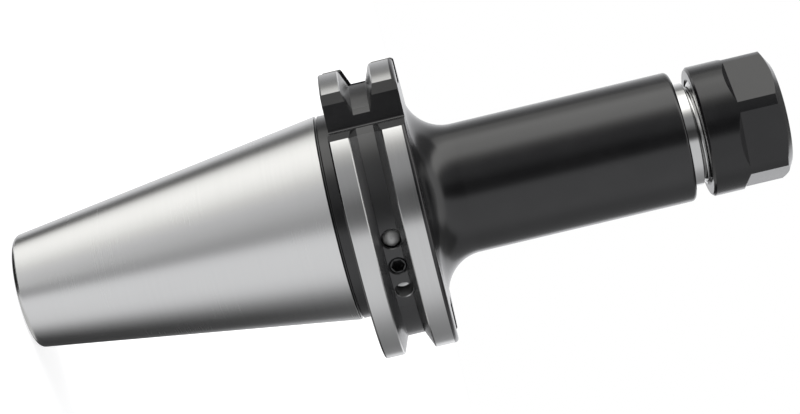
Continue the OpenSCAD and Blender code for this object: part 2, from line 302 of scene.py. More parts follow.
def cut_away(piece: bpy.types.Object, tools: list[bmesh.types.BMesh]) -> None:
    """Cuts a set of shells out of a piece.

    Args:
        piece: The piece that is cut.
        tools: Shells that don't overlap each other, which are freed.
    """
    cutter = piece_from(joined(tools), piece.name + "_cutter")
    modifier = piece.modifiers.new("cut", "BOOLEAN")
    modifier.operation = "DIFFERENCE"
    modifier.solver = "EXACT"
    modifier.object = cutter
    bpy.context.view_layer.update()
    solved = piece.evaluated_get(bpy.context.evaluated_depsgraph_get())
    mesh = bpy.data.meshes.new_from_object(solved)
    piece.modifiers.clear()
    old = piece.data
    piece.data = mesh
    bpy.data.meshes.remove(old)
    bpy.data.objects.remove(cutter)


def shade_by_angle(piece: bpy.types.Object) -> None:
    """Shades a piece smooth, apart from the edges that turn by more than the sharp angle.

    Args:
        piece: The piece to shade.
    """
    shell = bmesh.new()
    shell.from_mesh(piece.data)
    bmesh.ops.remove_doubles(shell, verts=shell.verts, dist=MERGE_DISTANCE)
    for face in shell.faces:
        face.smooth = True
    for edge in shell.edges:
        edge.smooth = len(edge.link_faces) == 2 and edge.calc_face_angle(0.0) < SHARP_ANGLE
    shell.to_mesh(piece.data)
    shell.free()
    weighted = piece.modifiers.new("even_normals", "WEIGHTED_NORMAL")
    weighted.keep_sharp = True
    weighted.weight = NEUTRAL_WEIGHT


def settle(piece: bpy.types.Object, body: Body, material: bpy.types.Material) -> None:
    """Gives a finished piece its body and its material.

    Args:
        piece: The piece, in place.
        body: The body that it moves with.
        material: Its material.
    """
    piece.data.materials.clear()
    piece.data.materials.append(material)
    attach(piece, body.value)
    log.info("%s: %d faces, rides on %s", piece.name, len(piece.data.polygons), body.value)


@dataclass(frozen=True)
class ThreadForm:
    """A sixty degree thread's ridge, as a helix round the Z axis. Sizes are in millimetres."""

    pitch: float
    pitch_radius: float
    crest_radius: float
    root_radius: float
    start: float
    end: float
    side: ThreadSide
    slack: float = 0.0
    fade_turns: float = 0.35
    flank_angle: float = 30.0
    sunk_depth: float = 0.15
    faded_depth: float = 0.1

    @property
    def turns(self) -> float:
        """Returns the number of turns from the start to the end."""
        return (self.end - self.start) / self.pitch

    def ridge(self, name: str, steps_per_turn: int = THREAD_STEPS) -> bpy.types.Object:
        """Sweeps the ridge along its helix, fading it out at both ends.

        Args:
            name: Name of the new piece.
            steps_per_turn: Number of steps in each turn.

        Returns:
            The ridge as an object.
        """
        slope = math.tan(math.radians(self.flank_angle))
        at_pitch = self.pitch / 4 - self.slack
        crest_half = at_pitch - abs(self.crest_radius - self.pitch_radius) * slope
        root_half = at_pitch + abs(self.pitch_radius - self.root_radius) * slope
        sunk = self.root_radius - self.side.value * self.sunk_depth
        steps = math.ceil(self.turns * steps_per_turn)
        outline = [
            (sunk, -root_half), (self.root_radius, -root_half), (self.crest_radius, -crest_half),
            (self.crest_radius, crest_half), (self.root_radius, root_half), (sunk, root_half),
        ]
        shell = bmesh.new()
        face = shell.faces.new([shell.verts.new(mm_point(r, 0, self.start + h)) for r, h in outline])
        bmesh.ops.spin(
            shell, geom=[face], cent=(0, 0, 0), axis=(0, 0, 1),
            dvec=mm_point(0, 0, self.pitch * self.turns / steps), angle=FULL_TURN * self.turns,
            steps=steps, use_merge=False, use_normal_flip=False, use_duplicate=False,
        )
        self._fade(shell)
        piece = piece_from(tidy_shell(shell), name)
        shade_by_angle(piece)
        return piece

    def _fade(self, shell: bmesh.types.BMesh) -> None:
        """Sinks the crest into the wall over the first and the last part of a turn.

        Args:
            shell: The ridge's mesh, which is changed.
        """
        faded_radius = self.root_radius - self.side.value * self.faded_depth
        for vert in shell.verts:
            radius = math.hypot(vert.co.x, vert.co.y) / MM
            angle = math.atan2(vert.co.y, vert.co.x) / FULL_TURN
            height = (vert.co.z / MM - self.start) / self.pitch
            turn = angle + round(height - angle)
            share = min(1.0, max(0.0, min(turn, self.turns - turn) / self.fade_turns))
            above = (radius - faded_radius) * self.side.value
            if above > 0 and share < 1:
                wanted = faded_radius + self.side.value * above * share
                vert.co.x *= wanted / radius
                vert.co.y *= wanted / radius


def operator_method(operation: str, reflected: bool = False) -> Callable[["Value", "Number"], "Value"]:
    """Makes a method of Value that adds a Math node with two inputs.

    Args:
        operation: The Math node's operation.
        reflected: True where the socket itself is the second input.

    Returns:
        The method.
    """

    def method(self: "Value", other: "Number") -> "Value":
        """Returns the operation's result for this socket and the other socket or number."""
        return self.calculated(operation, *((other, self) if reflected else (self, other)))

    return method


class Value:
    """A socket of a node tree that takes part in Python expressions."""

    __add__ = operator_method("ADD")
    __radd__ = operator_method("ADD", reflected=True)
    __sub__ = operator_method("SUBTRACT")
    __rsub__ = operator_method("SUBTRACT", reflected=True)
    __mul__ = operator_method("MULTIPLY")
    __rmul__ = operator_method("MULTIPLY", reflected=True)
    __truediv__ = operator_method("DIVIDE")
    __rtruediv__ = operator_method("DIVIDE", reflected=True)

    # The smaller of the two, the larger, and the angle whose sine is this and whose cosine is the other.
    at_most = operator_method("MINIMUM")
    at_least = operator_method("MAXIMUM")
    angle_from = operator_method("ARCTAN2")

    def __init__(self, shading: "Shading", socket: Optional[bpy.types.NodeSocket]) -> None:
        """Wraps a node's output socket."""
        self.shading = shading
        self.socket = socket

    def calculated(self, operation: str, first: "Number", second: "Number" = 0.0) -> "Value":
        """Adds a Math node that works on one or two numbers or sockets."""
        return self.shading.node("ShaderNodeMath", {"operation": operation}, {0: first, 1: second})

    def __abs__(self) -> "Value":
        """Returns this without its sign."""
        return self.calculated("ABSOLUTE", self)

    def root(self) -> "Value":
        """Returns the square root."""
        return self.calculated("SQRT", self)

    def above(self, edge: float, width: float) -> "Value":
        """Returns 0 below an edge and 1 above it.

        Args:
            edge: Where the change starts.
            width: How wide the change is.

        Returns:
            The smooth step from 0 to 1.
        """
        return self.shading.node(
            "ShaderNodeMapRange", {"interpolation_type": "SMOOTHSTEP"},
            {"Value": self, "From Min": edge, "From Max": edge + width},
        )

    def ramp(self, start: float, end: float) -> "Value":
        """Returns 0 at the start and 1 at the end, with a straight slope between them."""
        reach = {"Value": self, "From Min": start, "From Max": end}
        return self.shading.node("ShaderNodeMapRange", inputs=reach)

    def below(self, edge: float, width: float) -> "Value":
        """Returns 1 below an edge and 0 above it, with a change of the given width."""
        return 1 - self.above(edge, width)


Number = Union[Value, float]
Colour = tuple[float, float, float, float]


class Shading:
    """A node tree that is filled by Python expressions."""

    def __init__(self, tree: bpy.types.NodeTree) -> None:
        """Takes over a tree and empties it."""
        self.tree = tree
        self.tree.nodes.clear()

    def node(
        self, kind: str, settings: Optional[dict] = None, inputs: Optional[dict] = None,
        output: Union[int, str] = 0,
    ) -> Value:
        """Adds any node.

        Args:
            kind: The node's type.
            settings: Its settings, set first. "stops" holds a ramp's places and colours.
            inputs: Values or links for its sockets, by name or number.
            output: The output that is wanted.

        Returns:
            The chosen output.
        """
        made = self.tree.nodes.new(kind)
        for name, value in (settings or {}).items():
            if name == "stops":
                self._fill_ramp(made.color_ramp, value)
            else:
                setattr(made, name, value)
        for key, value in (inputs or {}).items():
            if isinstance(value, Value):
                self.tree.links.new(value.socket, made.inputs[key])
            else:
                made.inputs[key].default_value = value
        return Value(self, made.outputs[output] if made.outputs else None)

    @staticmethod
    def _fill_ramp(ramp: bpy.types.ColorRamp, stops: list[tuple[float, Colour]]) -> None:
        """Gives a colour ramp its stops.

        Args:
            ramp: The ramp, which is changed.
            stops: Each stop's place from 0 to 1 and its colour, in rising order.
        """
        while len(ramp.elements) > 1:
            ramp.elements.remove(ramp.elements[-1])
        ramp.elements[0].position, ramp.elements[0].color = stops[0]
        for place, colour in stops[1:]:
            ramp.elements.new(place).color = colour

    def split(self, vector: Value) -> tuple[Value, Value, Value]:
        """Returns the three parts of a vector."""
        node = self.node("ShaderNodeSeparateXYZ", inputs={0: vector}).socket.node
        return tuple(Value(self, node.outputs[axis]) for axis in range(3))

    def place(self) -> tuple[Value, Value, Value]:
        """Reads the place on the object.

        Returns:
            The object coordinates, in millimetres.
        """
        here = self.node("ShaderNodeTexCoord", output="Object")
        scaled = self.node("ShaderNodeVectorMath", {"operation": "SCALE"}, {0: here, "Scale": 1 / MM})
        return self.split(scaled)

    def noise(self, grain: tuple[float, float], detail: float = 2.0) -> Value:
        """Makes noise over the object.

        Args:
            grain: Grains to the millimetre, first across the tool's axis and then along it.
            detail: Number of finer layers.

        Returns:
            The noise, which varies around a half.
        """
        across, along = grain
        x, y, z = self.place()
        where = self.node("ShaderNodeCombineXYZ", inputs={0: x * across, 1: y * across, 2: z * along})
        return self.node(
            "ShaderNodeTexNoise", {"noise_dimensions": "3D"},
            {"Vector": where, "Scale": 1.0, "Detail": detail, "Roughness": LAYER_STRENGTH},
        )

    def blend(self, share: Number, first: Union[Value, Colour], second: Union[Value, Colour]) -> Value:
        """Mixes two colours.

        Args:
            share: 0 for the first colour and 1 for the second.
            first: The first colour.
            second: The second colour.

        Returns:
            The mixed colour.
        """
        return self.node(
            "ShaderNodeMix", {"data_type": "RGBA"}, {"Factor": share, 6: first, 7: second}, output=2,
        )

    def mixed_shader(self, share: Number, first: Value, second: Value) -> Value:
        """Mixes two shaders, 0 for the first and 1 for the second."""
        return self.node("ShaderNodeMixShader", inputs={0: share, 1: first, 2: second})

    def bump(self, height: Value, distance: float) -> Value:
        """Returns a normal that follows a height, with the bumps' depth in millimetres."""
        depth = distance * MM
        return self.node("ShaderNodeBump", inputs={"Height": height, "Distance": depth}, output="Normal")


@dataclass(frozen=True)
class GroundSteel:
    """Bright steel, ground round the axis, with fine lines that follow the wheel and a faint cloud."""

    base: tuple[float, float, float] = (0.565, 0.565, 0.56)
    darkest: float = 0.93
    roughness: float = 0.26
    fine_roughness: float = 0.13
    roughness_spread: float = 0.05
    line_grain: tuple[float, float] = (0.02, 7.0)
    line_depth: float = 0.0004
    line_tone: float = 0.08
    cloud_grain: tuple[float, float] = (0.08, 0.05)
    cloud_detail: float = 3.0
    cloud_tone: float = 0.05
    anisotropy: float = 0.45
    grinding_direction: float = 0.25
    metallic: float = 1.0

    def shader(self, shading: Shading, fine: Number = 0.0) -> Value:
        """Builds the finish.

        Args:
            shading: The tree that it goes into.
            fine: 1 where the steel is turned to a finer finish, 0 elsewhere.

        Returns:
            The shader.
        """
        lines = shading.noise(self.line_grain)
        cloud = shading.noise(self.cloud_grain, self.cloud_detail)
        tone = self.darkest + lines * self.line_tone + cloud * self.cloud_tone
        red, green, blue = (part * tone for part in self.base)
        rough = self.roughness - (self.roughness - self.fine_roughness) * fine
        spread = self.roughness_spread
        return shading.node(
            "ShaderNodeBsdfPrincipled",
            inputs={
                "Base Color": shading.node("ShaderNodeCombineColor", inputs={0: red, 1: green, 2: blue}),
                "Metallic": self.metallic,
                "Roughness": rough + lines * spread + cloud * spread - spread,
                "Anisotropic": self.anisotropy,
                "Anisotropic Rotation": self.grinding_direction,
                "Normal": shading.bump(lines, self.line_depth),
            },
        )


@dataclass(frozen=True)
class BlackOxide:
    """Black oxide on turned steel: a thin dark skin with a soft sheen and faint tool marks."""

    base: Colour = (0.0045, 0.0045, 0.005, 1.0)
    rubbed: Colour = (0.011, 0.011, 0.0115, 1.0)
    dull: Colour = (0.055, 0.055, 0.056, 1.0)
    rubbed_from: float = 0.42
    rubbed_fade: float = 0.3
    rubbed_share: float = 0.5
    roughness: float = 0.20
    mark_grain: tuple[float, float] = (0.15, 5.0)
    mark_depth: float = 0.0008
    mark_roughness: float = 0.04
    cloud_grain: tuple[float, float] = (0.16, 0.12)
    cloud_detail: float = 4.0
    cloud_roughness: float = 0.06
    ior: float = 1.58

    def shader(self, shading: Shading, worn: Number = 0.0) -> Value:
        """Builds the finish.

        Args:
            shading: The tree that it goes into.
            worn: 1 where the skin is dull and greyer, 0 elsewhere.

        Returns:
            The shader.
        """
        marks = shading.noise(self.mark_grain)
        cloud = shading.noise(self.cloud_grain, self.cloud_detail)
        rubbed = cloud.above(self.rubbed_from, self.rubbed_fade) * self.rubbed_share
        clean = shading.blend(rubbed, self.base, self.rubbed)
        mean = (self.mark_roughness + self.cloud_roughness) / 2
        rough = self.roughness + marks * self.mark_roughness + cloud * self.cloud_roughness - mean
        return shading.node(
            "ShaderNodeBsdfPrincipled",
            inputs={
                "Base Color": shading.blend(worn, clean, self.dull),
                "Metallic": 0.0,
                "Roughness": rough,
                "IOR": self.ior,
                "Normal": shading.bump(marks, self.mark_depth),
            },
        )


def new_material(name: str, fill: Callable[[Shading], Value]) -> bpy.types.Material:
    """Makes a material.

    Args:
        name: The material's name.
        fill: Function that builds its shader in a tree.

    Returns:
        The material.
    """
    material = bpy.data.materials.new(name)
    material.use_nodes = True
    shading = Shading(material.node_tree)
    shading.node("ShaderNodeOutputMaterial", inputs={"Surface": fill(shading)})
    return material


@dataclass
class HolderBody:
    """The holder's one turned piece: taper, flange, neck and nose, with the bores inside. In millimetres."""

    gauge_radius: float = 22.225
    taper_slope: float = 7 / 48
    taper_length: float = 68.4
    end_round: float = 1.36
    relief_end: float = 0.55
    relief_depth: float = 0.6
    relief_round: float = 0.25
    collar_radius: float = 22.075
    flange_start: float = 3.2
    flange_end: float = 19.1
    flange_radius: float = 31.755
    front_chamfer: float = 0.35
    back_round: float = 0.9
    groove_centre: float = 10.75
    groove_depth: float = 3.65
    groove_floor: float = 3.6
    groove_open: float = 7.0
    groove_edge: float = 0.25
    slot_width: float = 16.1
    slot_floor: float = 25.0
    deep_slot_floor: float = 22.8
    notch_face: float = 18.5
    slot_chamfer: float = 0.6
    notch_chamfer: float = 1.5
    notch_fillet: float = 0.6
    valve_angle: float = 111.1
    drilling_height: float = 11.0
    drilling_step: float = 12.2
    valve_radius: float = 1.8
    ball_radius: float = 2.0
    ball_hole_depth: float = 8.0
    open_hole_depth: float = 3.3
    drill_point: float = 0.745
    drilling_chamfer: float = 0.2
    channel_radius: float = 2.0
    channel_inset: float = 4.8
    channel_meet: float = 24.389
    neck_radius: float = 14.0
    neck_fillet: float = 10.0
    neck_end: float = 74.8
    shoulder_round: float = 1.0
    seat_radius: float = 11.1
    seat_end: float = 77.0
    nose_face: float = 85.8
    nose_core: float = 10.08
    nose_chamfer: float = 0.45
    cone_mouth: float = 8.04
    cone_angle: float = 8.0
    cavity_radius: float = 5.75
    cavity_start: float = 52.58
    stop_bore_radius: float = 4.563
    stop_bore_start: float = 28.389
    stop_bore_end: float = 51.389
    coolant_radius: float = 4.0
    stud_thread_radius: float = 8.0
    stud_thread_start: float = -60.4
    stud_thread_end: float = -34.4
    stud_point: float = -32.4
    pilot_radius: float = 8.5
    pilot_chamfer: float = 0.75
    edge_round: float = 0.12
    fine_round: float = 0.05
    gauge_round: float = 0.1
    collar_round: float = 0.1
    corner_round: float = 0.15
    seat_root_round: float = 0.08
    seat_lead: float = 0.35
    seat_lead_round: float = 0.1
    thread_pitch: float = 1.5
    thread_pitch_radius: float = 10.513
    thread_radius: float = 11.0
    thread_lead: float = 0.3
    stud_pitch: float = 2.0
    stud_pitch_radius: float = 7.35
    stud_crest_radius: float = 6.92
    channel_overrun: float = 4.0
    drill_steps: int = 48
    channel_steps: int = 40

    # Where the bright surfaces end, in millimetres, and how strongly each finish shows.
    taper_skin: float = 0.25
    end_skin: float = 1.3
    end_skin_radius: float = 11.2
    rim_skin: float = 0.07
    rim_fineness: float = 0.6
    edge_skin: float = 0.01
    nose_skin: float = 0.06
    nose_skin_radius: float = 9.3
    cone_skin_start: float = 10.0
    cone_skin_radius: float = 8.2
    cone_fade: float = 1.0
    hole_skin: float = 0.02
    hole_skin_start: float = 23.389
    hole_wall_dulling: float = 0.7
    notch_margin: float = 1.4
    slot_margin: float = 0.65
    floor_margin: float = 0.05
    floor_half: float = 2.2
    floor_cleanness: float = 0.6

    @property
    def floor_radius(self) -> float:
        """Returns the radius of the gripper groove's floor."""
        return self.flange_radius - self.groove_depth

    @property
    def channel_circle(self) -> float:
        """Returns the radius on which the coolant channels leave the flange's front face."""
        return self.flange_radius - self.channel_inset

    def build(self) -> bpy.types.Object:
        """Makes the body's mesh.

        Returns:
            The piece.
        """
        piece = piece_from(self._section().spun(), "turned_body")
        cut_away(piece, [
            self._slot_cutter(self.slot_floor, 0.0),
            self._slot_cutter(self.deep_slot_floor, math.pi),
            self._notch_cutter(),
            *self._drillings(),
        ])
        cut_away(piece, self._channels())
        shade_by_angle(piece)
        return piece

    def nose_thread(self) -> ThreadForm:
        """Works out the thread on the nose.

        Returns:
            Its form, which the nut's thread follows.
        """
        return ThreadForm(
            pitch=self.thread_pitch, pitch_radius=self.thread_pitch_radius, crest_radius=self.thread_radius,
            root_radius=self.nose_core, start=self.seat_end + self.thread_lead,
            end=self.nose_face - self.nose_chamfer, side=ThreadSide.OUTSIDE,
        )

    def threads(self) -> list[bpy.types.Object]:
        """Makes the nose's thread and the pull stud's thread.

        Returns:
            The two ridges.
        """
        stud = ThreadForm(
            pitch=self.stud_pitch, pitch_radius=self.stud_pitch_radius, crest_radius=self.stud_crest_radius,
            root_radius=self.stud_thread_radius, start=self.stud_thread_start + self.stud_pitch / 2,
            end=self.stud_thread_end - self.stud_pitch, side=ThreadSide.INSIDE,
        )
        return [self.nose_thread().ridge("nose_thread"), stud.ridge("pull_stud_thread", HIDDEN_THREAD_STEPS)]

    def _section(self) -> Section:
        """Draws the whole section, outside first and then back through the bores.

        Returns:
            The section.
        """
        small_end = -self.taper_length
        end_radius = self.gauge_radius - self.taper_length * self.taper_slope
        relief_radius = self.gauge_radius - self.relief_depth
        edge, fine, corner = self.edge_round, self.fine_round, self.corner_round
        edge_radius = self.flange_radius - self.groove_edge
        half_floor = self.groove_floor / 2
        half_open = self.groove_open / 2
        half_edge = half_open - self.groove_edge
        middle = self.groove_centre
        cone_depth = (self.cone_mouth - self.cavity_radius) / math.tan(math.radians(self.cone_angle))
        section = Section()
        section.to(end_radius, small_end, self.end_round).to(self.gauge_radius, 0, self.gauge_round)
        section.to(relief_radius, 0, self.relief_round).to(relief_radius, self.relief_end, self.relief_round)
        section.to(self.collar_radius, self.relief_end, corner)
        section.to(self.collar_radius, self.flange_start, self.collar_round)
        section.to(self.flange_radius - self.front_chamfer, self.flange_start, edge)
        section.to(self.flange_radius, self.flange_start + self.front_chamfer, edge)
        section.to(self.flange_radius, middle - half_open, fine).to(edge_radius, middle - half_edge, fine)
        section.to(self.floor_radius, middle - half_floor, corner)
        section.to(self.floor_radius, middle + half_floor, corner)
        section.to(edge_radius, middle + half_edge, fine).to(self.flange_radius, middle + half_open, fine)
        section.to(self.flange_radius, self.flange_end, self.back_round)
        section.to(self.neck_radius, self.flange_end, self.neck_fillet)
        section.to(self.neck_radius, self.neck_end, self.shoulder_round)
        section.to(self.seat_radius, self.neck_end, self.seat_root_round)
        section.to(self.seat_radius, self.seat_end, edge)
        section.to(self.nose_core, self.seat_end + self.seat_lead, self.seat_lead_round)
        section.to(self.nose_core, self.nose_face - self.nose_chamfer, fine)
        section.to(self.nose_core - self.nose_chamfer, self.nose_face, fine)
        section.to(self.cone_mouth, self.nose_face, edge).to(self.cavity_radius, self.nose_face - cone_depth)
        section.to(self.cavity_radius, self.cavity_start).to(self.stop_bore_radius, self.stop_bore_end)
        section.to(self.stop_bore_radius, self.stop_bore_start).to(self.coolant_radius, self.stop_bore_start)
        section.to(self.coolant_radius, self.stud_point).to(self.stud_thread_radius, self.stud_thread_end)
        section.to(self.stud_thread_radius, self.stud_thread_start)
        section.to(self.pilot_radius, self.stud_thread_start)
        section.to(self.pilot_radius, small_end + self.pilot_chamfer, edge)
        section.to(self.pilot_radius + self.pilot_chamfer, small_end, edge)
        return section

    def _lip(self, size: float, lip: Vector, direction: Vector, solid_side: int) -> tuple[Vector, Vector]:
        """Works out the chamfer where a cut's side leaves the flange.

        Args:
            size: How far the chamfer reaches down the side and round the flange.
            lip: Where the side meets the flange's outside.
            direction: The side's direction, outwards.
            solid_side: 1 where the solid lies to the side's left and -1 where it lies to its right.

        Returns:
            The chamfer's inner end and a point on it outside the flange.
        """
        start = lip - direction * size
        skin = Matrix.Rotation(solid_side * size / self.flange_radius, 2) @ lip
        return start, start + LIP_REACH * (skin - start)

    def _through_flange(self, outline: list[Vector], turn: Optional[Matrix] = None) -> bmesh.types.BMesh:
        """Returns the tool that cuts an outline right through the flange, turned to its place."""
        return prism(outline, self.flange_start - PAST, self.flange_end + PAST, turn)

    def _slot_cutter(self, floor: float, turn: float) -> bmesh.types.BMesh:
        """Makes the tool that cuts a drive slot.

        Args:
            floor: Distance from the axis to the slot's floor.
            turn: Angle in radians from the shallow slot.

        Returns:
            The tool, in place.
        """
        half = self.slot_width / 2
        beyond = self.flange_radius + FAR_PAST
        outwards = Vector((1, 0))
        lip = math.sqrt(self.flange_radius ** 2 - half ** 2)
        left_start, left_far = self._lip(self.slot_chamfer, Vector((lip, half)), outwards, 1)
        right_start, right_far = self._lip(self.slot_chamfer, Vector((lip, -half)), outwards, -1)
        outline = [
            Vector((floor, -half)), right_start, right_far, Vector((beyond, right_far.y)),
            Vector((beyond, left_far.y)), left_far, left_start, Vector((floor, half)),
        ]
        return self._through_flange(outline, Matrix.Rotation(turn, 4, "Z"))

    def _notch_cutter(self) -> bmesh.types.BMesh:
        """Makes the tool that cuts the orientation notch.

        Returns:
            The tool, in place.
        """
        face = self.notch_face
        beyond = self.flange_radius + FAR_PAST
        lip = math.sqrt(self.flange_radius ** 2 - face ** 2)
        low_start, low_far = self._lip(self.notch_chamfer, Vector((lip, face)), Vector((1, 0)), -1)
        high_start, high_far = self._lip(self.notch_chamfer, Vector((face, lip)), Vector((0, 1)), 1)
        corner = Section().to(face, beyond).to(face, face, self.notch_fillet).to(beyond, face).outline()
        outline = [
            *corner[1:-1], low_start, low_far, Vector((beyond, low_far.y)), Vector((beyond, beyond)),
            Vector((high_far.x, beyond)), high_far, high_start,
        ]
        return self._through_flange(outline)

    def _on_groove_floor(self, angle: float) -> Matrix:
        """Works out the place of what stands on the groove's floor, pointing outwards.

        Args:
            angle: Angle round the axis, in degrees.

        Returns:
            The place.
        """
        around = Matrix.Rotation(math.radians(angle), 4, "Z")
        out = Matrix.Translation(mm_point(self.floor_radius, 0, self.drilling_height))
        return around @ out @ Matrix.Rotation(math.pi / 2, 4, "Y")

    def _drilling(self, angle: float, radius: float, depth: float) -> bmesh.types.BMesh:
        """Makes the tool that drills one chamfered hole into the groove's floor.

        Args:
            angle: Angle round the axis, in degrees.
            radius: The hole's radius.
            depth: Its depth down to the drill's point.

        Returns:
            The tool, in place.
        """
        lead = self.floor_radius - math.sqrt(self.floor_radius ** 2 - radius ** 2) + self.drilling_chamfer
        section = Section().to(0, -depth - self.drill_point).to(radius, -depth).to(radius, -lead)
        section.to(radius + lead + PAST, PAST).to(0, PAST)
        return section.spun(self.drill_steps, closed=False, turn=self._on_groove_floor(angle))

    def _drillings(self) -> list[bmesh.types.BMesh]:
        """Makes the tools for all the holes in the groove's floor.

        Returns:
            On each side the closing screw's hole, the ball's hole and the open one.
        """
        holes = (
            (0.0, self.valve_radius, self._valve_depth()),
            (-self.drilling_step, self.ball_radius, self.ball_hole_depth),
            (self.drilling_step, self.valve_radius, self.open_hole_depth),
        )
        return [
            self._drilling(self.valve_angle + step + side, radius, depth)
            for side in OPPOSITE_SIDES for step, radius, depth in holes
        ]

    def _valve_depth(self) -> float:
        """Returns how deep a closing screw's hole goes to reach its coolant channel."""
        rise = (self.channel_meet - self.drilling_height) / (self.channel_meet - self.flange_start)
        return self.floor_radius - self.channel_circle * rise

    def _channels(self) -> list[bmesh.types.BMesh]:
        """Makes the tools for the two coolant channels.

        Returns:
            The tools, which run from the flange's front face to the coolant bore.
        """
        rise = self.channel_meet - self.flange_start
        start = self.coolant_radius / 2
        end = math.hypot(self.channel_circle, rise) + self.channel_overrun
        radius = self.channel_radius
        section = Section().to(0, start).to(radius, start).to(radius, end).to(0, end)
        meet = Matrix.Translation(mm_point(0, 0, self.channel_meet))
        down = Matrix.Rotation(math.pi - math.atan2(self.channel_circle, rise), 4, "Y")
        tools = []
        for side in OPPOSITE_SIDES:
            around = Matrix.Rotation(math.radians(self.valve_angle + side), 4, "Z")
            tools.append(section.spun(self.channel_steps, closed=False, turn=around @ meet @ down))
        return tools

    def finish(self) -> bpy.types.Material:
        """Returns the body's material."""
        return new_material("turned_body_finish", self._shader)

    def _shader(self, shading: Shading) -> Value:
        """Builds the body's finish: black oxide, and bright where it was ground or drilled afterwards.

        Args:
            shading: The tree that it goes into.

        Returns:
            The shader.
        """
        x, y, z = shading.place()
        radius = (x * x + y * y).root()
        off_centre = abs(z - self.drilling_height)

        # The ground taper with its small end, the rims, the nose and the collet's cone.
        taper_wall = (radius - z * self.taper_slope).above(self.gauge_radius - self.taper_skin, FADE)
        at_end = z.below(self.end_skin - self.taper_length, SOFT_FADE)
        end_edge = at_end * radius.above(self.end_skin_radius, SOFT_FADE)
        taper = z.below(0, CRISP_FADE) * taper_wall.at_least(end_edge)
        past_front = z.above(self.flange_start + self.front_chamfer - CRISP_FADE, CRISP_FADE)
        on_rim = past_front * z.below(self.flange_end - self.back_round, FADE)
        rims = on_rim * radius.above(self.flange_radius - self.rim_skin, FINE_FADE)
        nose = z.above(self.neck_end + self.nose_skin, FADE) * radius.above(self.nose_skin_radius, WIDE_FADE)
        past_cavity = z.above(self.cavity_start + self.cone_skin_start, self.cone_fade)
        cone = past_cavity * radius.below(self.cone_skin_radius, WIDE_FADE)

        # The open drillings, bright at their edge and duller on their wall.
        open_hole = math.radians(self.valve_angle + self.drilling_step)
        across = x * math.sin(open_hole) - y * math.cos(open_hole)
        from_hole = (across * across + off_centre * off_centre).root()
        past_point = radius.above(self.hole_skin_start, FINE_FADE)
        in_hole = from_hole.below(self.valve_radius + self.drilling_chamfer - self.hole_skin, CRISP_FADE)
        on_wall = from_hole.below(self.valve_radius + self.hole_skin, FINE_FADE)
        hole_wall = on_wall * radius.above(self.floor_radius - self.open_hole_depth, FINE_FADE)
        bare = in_hole * past_point * (1 - hole_wall * self.hole_wall_dulling)

        # The gripper groove away from the notch and the slots: bright edges, dull flanks and a cleaner floor.
        in_groove = abs(z - self.groove_centre).below(self.groove_open / 2, CRISP_FADE)
        off_notch = x.at_most(y).below(self.notch_face - self.notch_margin, FADE)
        off_slots = abs(y).above(self.slot_width / 2 + self.slot_margin, FADE)
        uncut = in_groove * (off_notch * off_slots)
        edge_radius = self.flange_radius - self.groove_edge - self.edge_skin
        edges = uncut * radius.above(edge_radius, CRISP_FADE)
        low = radius.below(self.floor_radius + self.floor_margin, SOFT_FADE)
        floor = low * off_centre.below(self.floor_half, SOFT_FADE)
        worn = uncut * radius.above(self.slot_floor, SOFT_FADE) * (1 - floor * self.floor_cleanness)

        ground = taper.at_least(rims).at_least(edges).at_least(nose).at_least(cone).at_least(bare)
        black = BlackOxide().shader(shading, worn)
        bright = GroundSteel().shader(shading, nose.at_least(rims * self.rim_fineness))
        return shading.mixed_shader(ground, black, bright)


